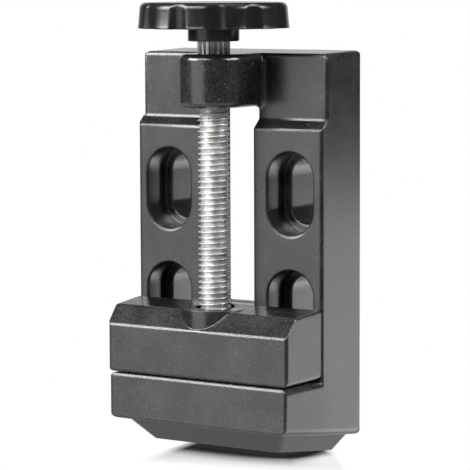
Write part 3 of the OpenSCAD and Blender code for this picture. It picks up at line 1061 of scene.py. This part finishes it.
@dataclass(frozen=True)
class PhotoCamera:
    """The photograph's camera, in the part's frame. Its lens and sensor are in millimetres.

    The offset leads right, down and away from the camera to a point on the underside's middle
    line, which lies a step, nose_to_origin, towards the nose from the part's origin.
    """

    lens: float = 184.87
    sensor: float = 36.0
    tilt: float = math.radians(6.123)
    swing: float = math.radians(32.770)
    roll: float = math.radians(-0.217)
    offset: Triple = (6.456 * MM, 35.441 * MM, 451.869 * MM)
    nose_to_origin: float = 34.35 * MM
    sight: Pair = (0.01, 20.0)

    def turn(self) -> Matrix:
        """Turns the part's axes into right, down and away from the camera."""
        upright = Matrix(((0, -1, 0), (-1, 0, 0), (0, 0, -1)))
        tilt = Matrix.Rotation(self.tilt, 3, "X")
        swing = Matrix.Rotation(self.swing, 3, "Y")
        roll = Matrix.Rotation(self.roll, 3, "Z")
        return roll @ tilt @ swing @ upright

    def axes(self) -> Tuple[Vector, Vector, Vector]:
        """Right, up and towards the camera, in the part's frame."""
        turn = self.turn()
        return turn[0].copy(), -turn[1], -turn[2]

    def build(self) -> Object:
        """The camera, made the scene's own."""
        right, up, back = self.axes()
        spot = -(self.turn().transposed() @ Vector(self.offset)) - Vector((self.nose_to_origin, 0.0, 0.0))
        data = bpy.data.cameras.new("photo_camera")
        data.lens = self.lens
        data.sensor_width = self.sensor
        data.clip_start, data.clip_end = self.sight
        camera = put_in_scene("photo_camera", data)
        camera.matrix_world = Matrix.Translation(spot) @ Matrix((right, up, back)).transposed().to_4x4()
        bpy.context.scene.camera = camera
        return camera


@dataclass(frozen=True)
class FloorPaper:
    """The floor's paper, with a painted contact shadow and the mirror image of the nose.

    A start is where a change sets in and an end where it is full, counted from the floor's middle:
    fade towards the camera, back away from it, and the others to the photograph's right. A pair of
    painted shade is a share of open sky and the grey that it gives.
    """

    camera: PhotoCamera
    fade_start: float = 38 * MM
    fade_end: float = 52 * MM
    back_start: float = 1 * MM
    back_end: float = 9 * MM
    side_start: float = 3 * MM
    side_end: float = 9 * MM
    side_loss: float = 0.5
    gloss: float = 0.5
    falloff: float = 4.0
    roughness: float = 0.04
    shade_reach: float = 15 * MM
    shade_samples: int = 16
    shade_dark: Pair = (0.56, 0.018)
    mirror_painted_shade: Pair = (0.35, 0.1)
    left_border: Triple = (-12.4 * MM, -0.186, 2.6 * MM)
    right_border: Triple = (-9.5 * MM, -0.114, 2.0 * MM)
    shade_start: float = 10.0 * MM
    shade_end: float = 13.0 * MM
    lift_start: float = 3.0 * MM
    lift_end: float = 10.0 * MM
    lift: float = 0.5

    @staticmethod
    def _beside(front: Signal, side: Signal, border: Triple) -> Signal:
        """One on the inner side of a slanting border on the floor, fading to zero beyond it.

        Args:
            front: The place towards the camera.
            side: The place across, growing inwards.
            border: Its place across, its slope and the width of the fade.

        Returns:
            The mask.
        """
        return ((side - border[0] - border[1] * front) / border[2] + 0.5).unit()

    def build(self, turned: Matrix) -> Material:
        """White paper that only the camera sees, and only from above, with a painted contact shadow.

        Args:
            turned: Turns the part's axes into the floor's.

        Returns:
            The paper, whose mirror image fades out round the nose.
        """
        paper = Surface("floor_paper")
        paper.tree.nodes.remove(paper.shader)
        path = paper.node("ShaderNodeLightPath")
        reach = {"Distance": self.shade_reach}
        shaded = paper.node("ShaderNodeAmbientOcclusion", reach, samples=self.shade_samples)
        near = paper.signal(shaded, "AO")
        right, _, back = self.camera.axes()
        front = paper.along(turned @ back)
        side = paper.along(turned @ right)
        rise = self.lift * side.between(self.lift_start, self.lift_end)
        # Painted contact shadow: ambient occlusion, lifted to the right, darkens the paper's glow.
        open_sky = paper.ramp(near + rise, self.shade_dark, (1.0, 1.0))
        # Painted shade in the mirror image: its colour darkens with ambient occlusion.
        deep = paper.ramp(near, self.mirror_painted_shade, (self.shade_dark[0], 1.0))
        ahead = front.between(self.fade_start, self.fade_end)
        fade = ahead.at_least(front.between(-self.back_start, -self.back_end))
        loss = self.side_loss * side.between(self.side_start, self.side_end)
        within = self._beside(front, side, self.left_border)
        within = within * self._beside(front, -1.0 * side, self.right_border)
        glance = paper.signal(paper.node("ShaderNodeLayerWeight"), "Facing")
        share = self.gloss * paper.math("POWER", glance, self.falloff)
        share = share * (1.0 - fade) * (1.0 - loss) * within
        dim = side.between(self.shade_end, self.shade_start)
        # The paper's glow, dimmed by the painted contact shadow inside the borders.
        level = 1.0 - (1.0 - open_sky) * within * dim
        glow = paper.node("ShaderNodeEmission", {"Color": (1.0, 1.0, 1.0, 1.0), "Strength": level})
        mirror = paper.node("ShaderNodeBsdfGlossy", {"Color": deep, "Roughness": self.roughness})
        lit = paper.node("ShaderNodeMixShader", {0: share, 1: glow.outputs[0], 2: mirror.outputs[0]})
        behind = paper.signal(paper.node("ShaderNodeNewGeometry"), "Backfacing")
        unseen = 1.0 - paper.signal(path, "Is Camera Ray")
        clear = paper.node("ShaderNodeBsdfTransparent")
        hidden = behind.at_least(unseen)
        mixed = paper.node("ShaderNodeMixShader", {0: hidden, 1: lit.outputs[0], 2: clear.outputs[0]})
        out = [node for node in paper.tree.nodes if node.type == "OUTPUT_MATERIAL"][0]
        paper.feed(out.inputs["Surface"], mixed.outputs[0])
        return paper.material


@dataclass(frozen=True)
class Softbox:
    """One area lamp. Its spot leads from the object to the photograph's right, up and front."""

    name: str
    spot: Triple
    width: float
    height: float
    radiance: float


@dataclass(frozen=True)
class Studio:
    """Floor, lamps and surroundings."""

    camera: PhotoCamera
    middle: Triple = (0.0, 0.0, 0.012)
    floor_reach: float = 0.3
    floor_lean: float = 3.1 * MM
    floor_gap: float = 0.02 * MM
    floor_sides: int = 64
    surround: float = 0.1
    floor_light: float = 0.6
    floor_low: float = math.sin(math.radians(8.0))
    floor_full: float = math.sin(math.radians(25.0))
    backdrop_full: float = math.cos(math.radians(20.0))
    backdrop_edge: float = math.cos(math.radians(32.0))
    softboxes: Tuple[Softbox, ...] = (
        Softbox("left_softbox", (-0.45, -0.12, 0.31), width=0.46, height=0.5, radiance=1.06),
        Softbox("right_panel", (0.3, -0.117, -0.14), width=0.3, height=0.25, radiance=1.46),
        Softbox("top_softbox", (0.1, 0.6, 0.1), width=0.4, height=0.4, radiance=1.1),
        Softbox("left_strip", (-0.53, 0.28, 0.17), width=0.34, height=0.3, radiance=16.5),
        Softbox("front_strip", (-0.29, 0.36, 0.42), width=0.36, height=0.2, radiance=16.5),
        Softbox("side_strip", (0.45, 0.3, 0.2), width=0.4, height=0.18, radiance=14.0),
    )

    def build(self) -> None:
        """Everything round the object."""
        self._surround()
        self._floor()
        for box in self.softboxes:
            self._lamp(box)
        view = bpy.context.scene.view_settings
        view.view_transform = "Standard"

    def _lamp(self, box: Softbox) -> None:
        """Adds one softbox that faces the object."""
        right, up, back = self.camera.axes()
        middle = Vector(self.middle)
        spot = middle + box.spot[0] * right + box.spot[1] * up + box.spot[2] * back
        data = bpy.data.lights.new(box.name, "AREA")
        data.shape = "RECTANGLE"
        data.size = box.width
        data.size_y = box.height
        data.energy = box.radiance * math.pi * box.width * box.height
        lamp = put_in_scene(box.name, data)
        aim = (middle - spot).normalized()
        side = aim.cross(up).normalized()
        turn = Matrix((side, side.cross(aim), -aim)).transposed()
        lamp.matrix_world = Matrix.Translation(spot) @ turn.to_4x4()
        lamp.visible_camera = False

    def _surround(self) -> None:
        """A white background for the camera and a grey room for everything else."""
        world = bpy.data.worlds.new("studio")
        world.use_nodes = True
        bpy.context.scene.world = world
        graph = Graph(world.node_tree)
        world.node_tree.nodes.clear()
        path = graph.node("ShaderNodeLightPath")
        seen = graph.signal(path, "Is Camera Ray").at_least(graph.signal(path, "Is Transmission Ray"))
        ray = graph.node("ShaderNodeTexCoord").outputs["Generated"]
        away = -self.camera.axes()[2]
        sheet = graph.dot(ray, tuple(away)).between(self.backdrop_edge, self.backdrop_full)
        down = graph.dot(ray, (-1.0, 0.0, 0.0))
        paper = self.floor_light * down.between(self.floor_low, self.floor_full)
        level = seen.at_least(sheet).at_least(paper).at_least(self.surround)
        back = graph.node("ShaderNodeBackground", {"Color": (1.0, 1.0, 1.0, 1.0), "Strength": level})
        graph.node("ShaderNodeOutputWorld", {"Surface": back.outputs[0]})

    def _floor(self) -> None:
        """The floor under the nose, seen from above only and fading out round the object."""
        low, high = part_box("base_casting")
        turned = Matrix.Rotation(math.pi / 2 + math.atan2(self.floor_lean, high.z), 4, "Y")
        mesh = bpy.data.meshes.new("floor")
        reach, sides = self.floor_reach, self.floor_sides
        with edited(mesh) as work:
            bmesh.ops.create_circle(work, cap_ends=True, segments=sides, radius=reach)
        floor = put_in_scene("floor", mesh)
        spot = Vector((low.x - self.floor_gap, 0.0, 0.0))
        floor.matrix_world = Matrix.Translation(spot) @ turned
        paint(mesh, FloorPaper(self.camera).build(turned.to_3x3().transposed()))


def main() -> None:
    """Builds the vise piece by piece, then the studio."""
    logging.basicConfig(level=logging.INFO, format="%(name)s: %(message)s")
    finishes = Finishes()
    thread = ThreadTree()
    Casting("base_casting", "base_cast", Body.BASE, finishes.casting).build()
    Casting("moving_jaw", "jaw_cast", Body.JAW, finishes.casting).build()
    LeadScrew(finishes.plated, thread).build()
    HandKnob(finishes.plastic).build()
    for node in ("jaw_keeper", "left_retaining_pin", "right_retaining_pin"):
        paint(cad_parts[node].data, finishes.steel)
    for node in ("front_lock_washer", "rear_lock_washer"):
        paint(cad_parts[node].data, finishes.plated)
    for node in ("front_keeper_screw", "rear_keeper_screw"):
        KeeperScrew(node, finishes.plated, thread).build()
    camera = PhotoCamera()
    camera.build()
    Studio(camera).build()


if __name__ == "__main__":
    main()
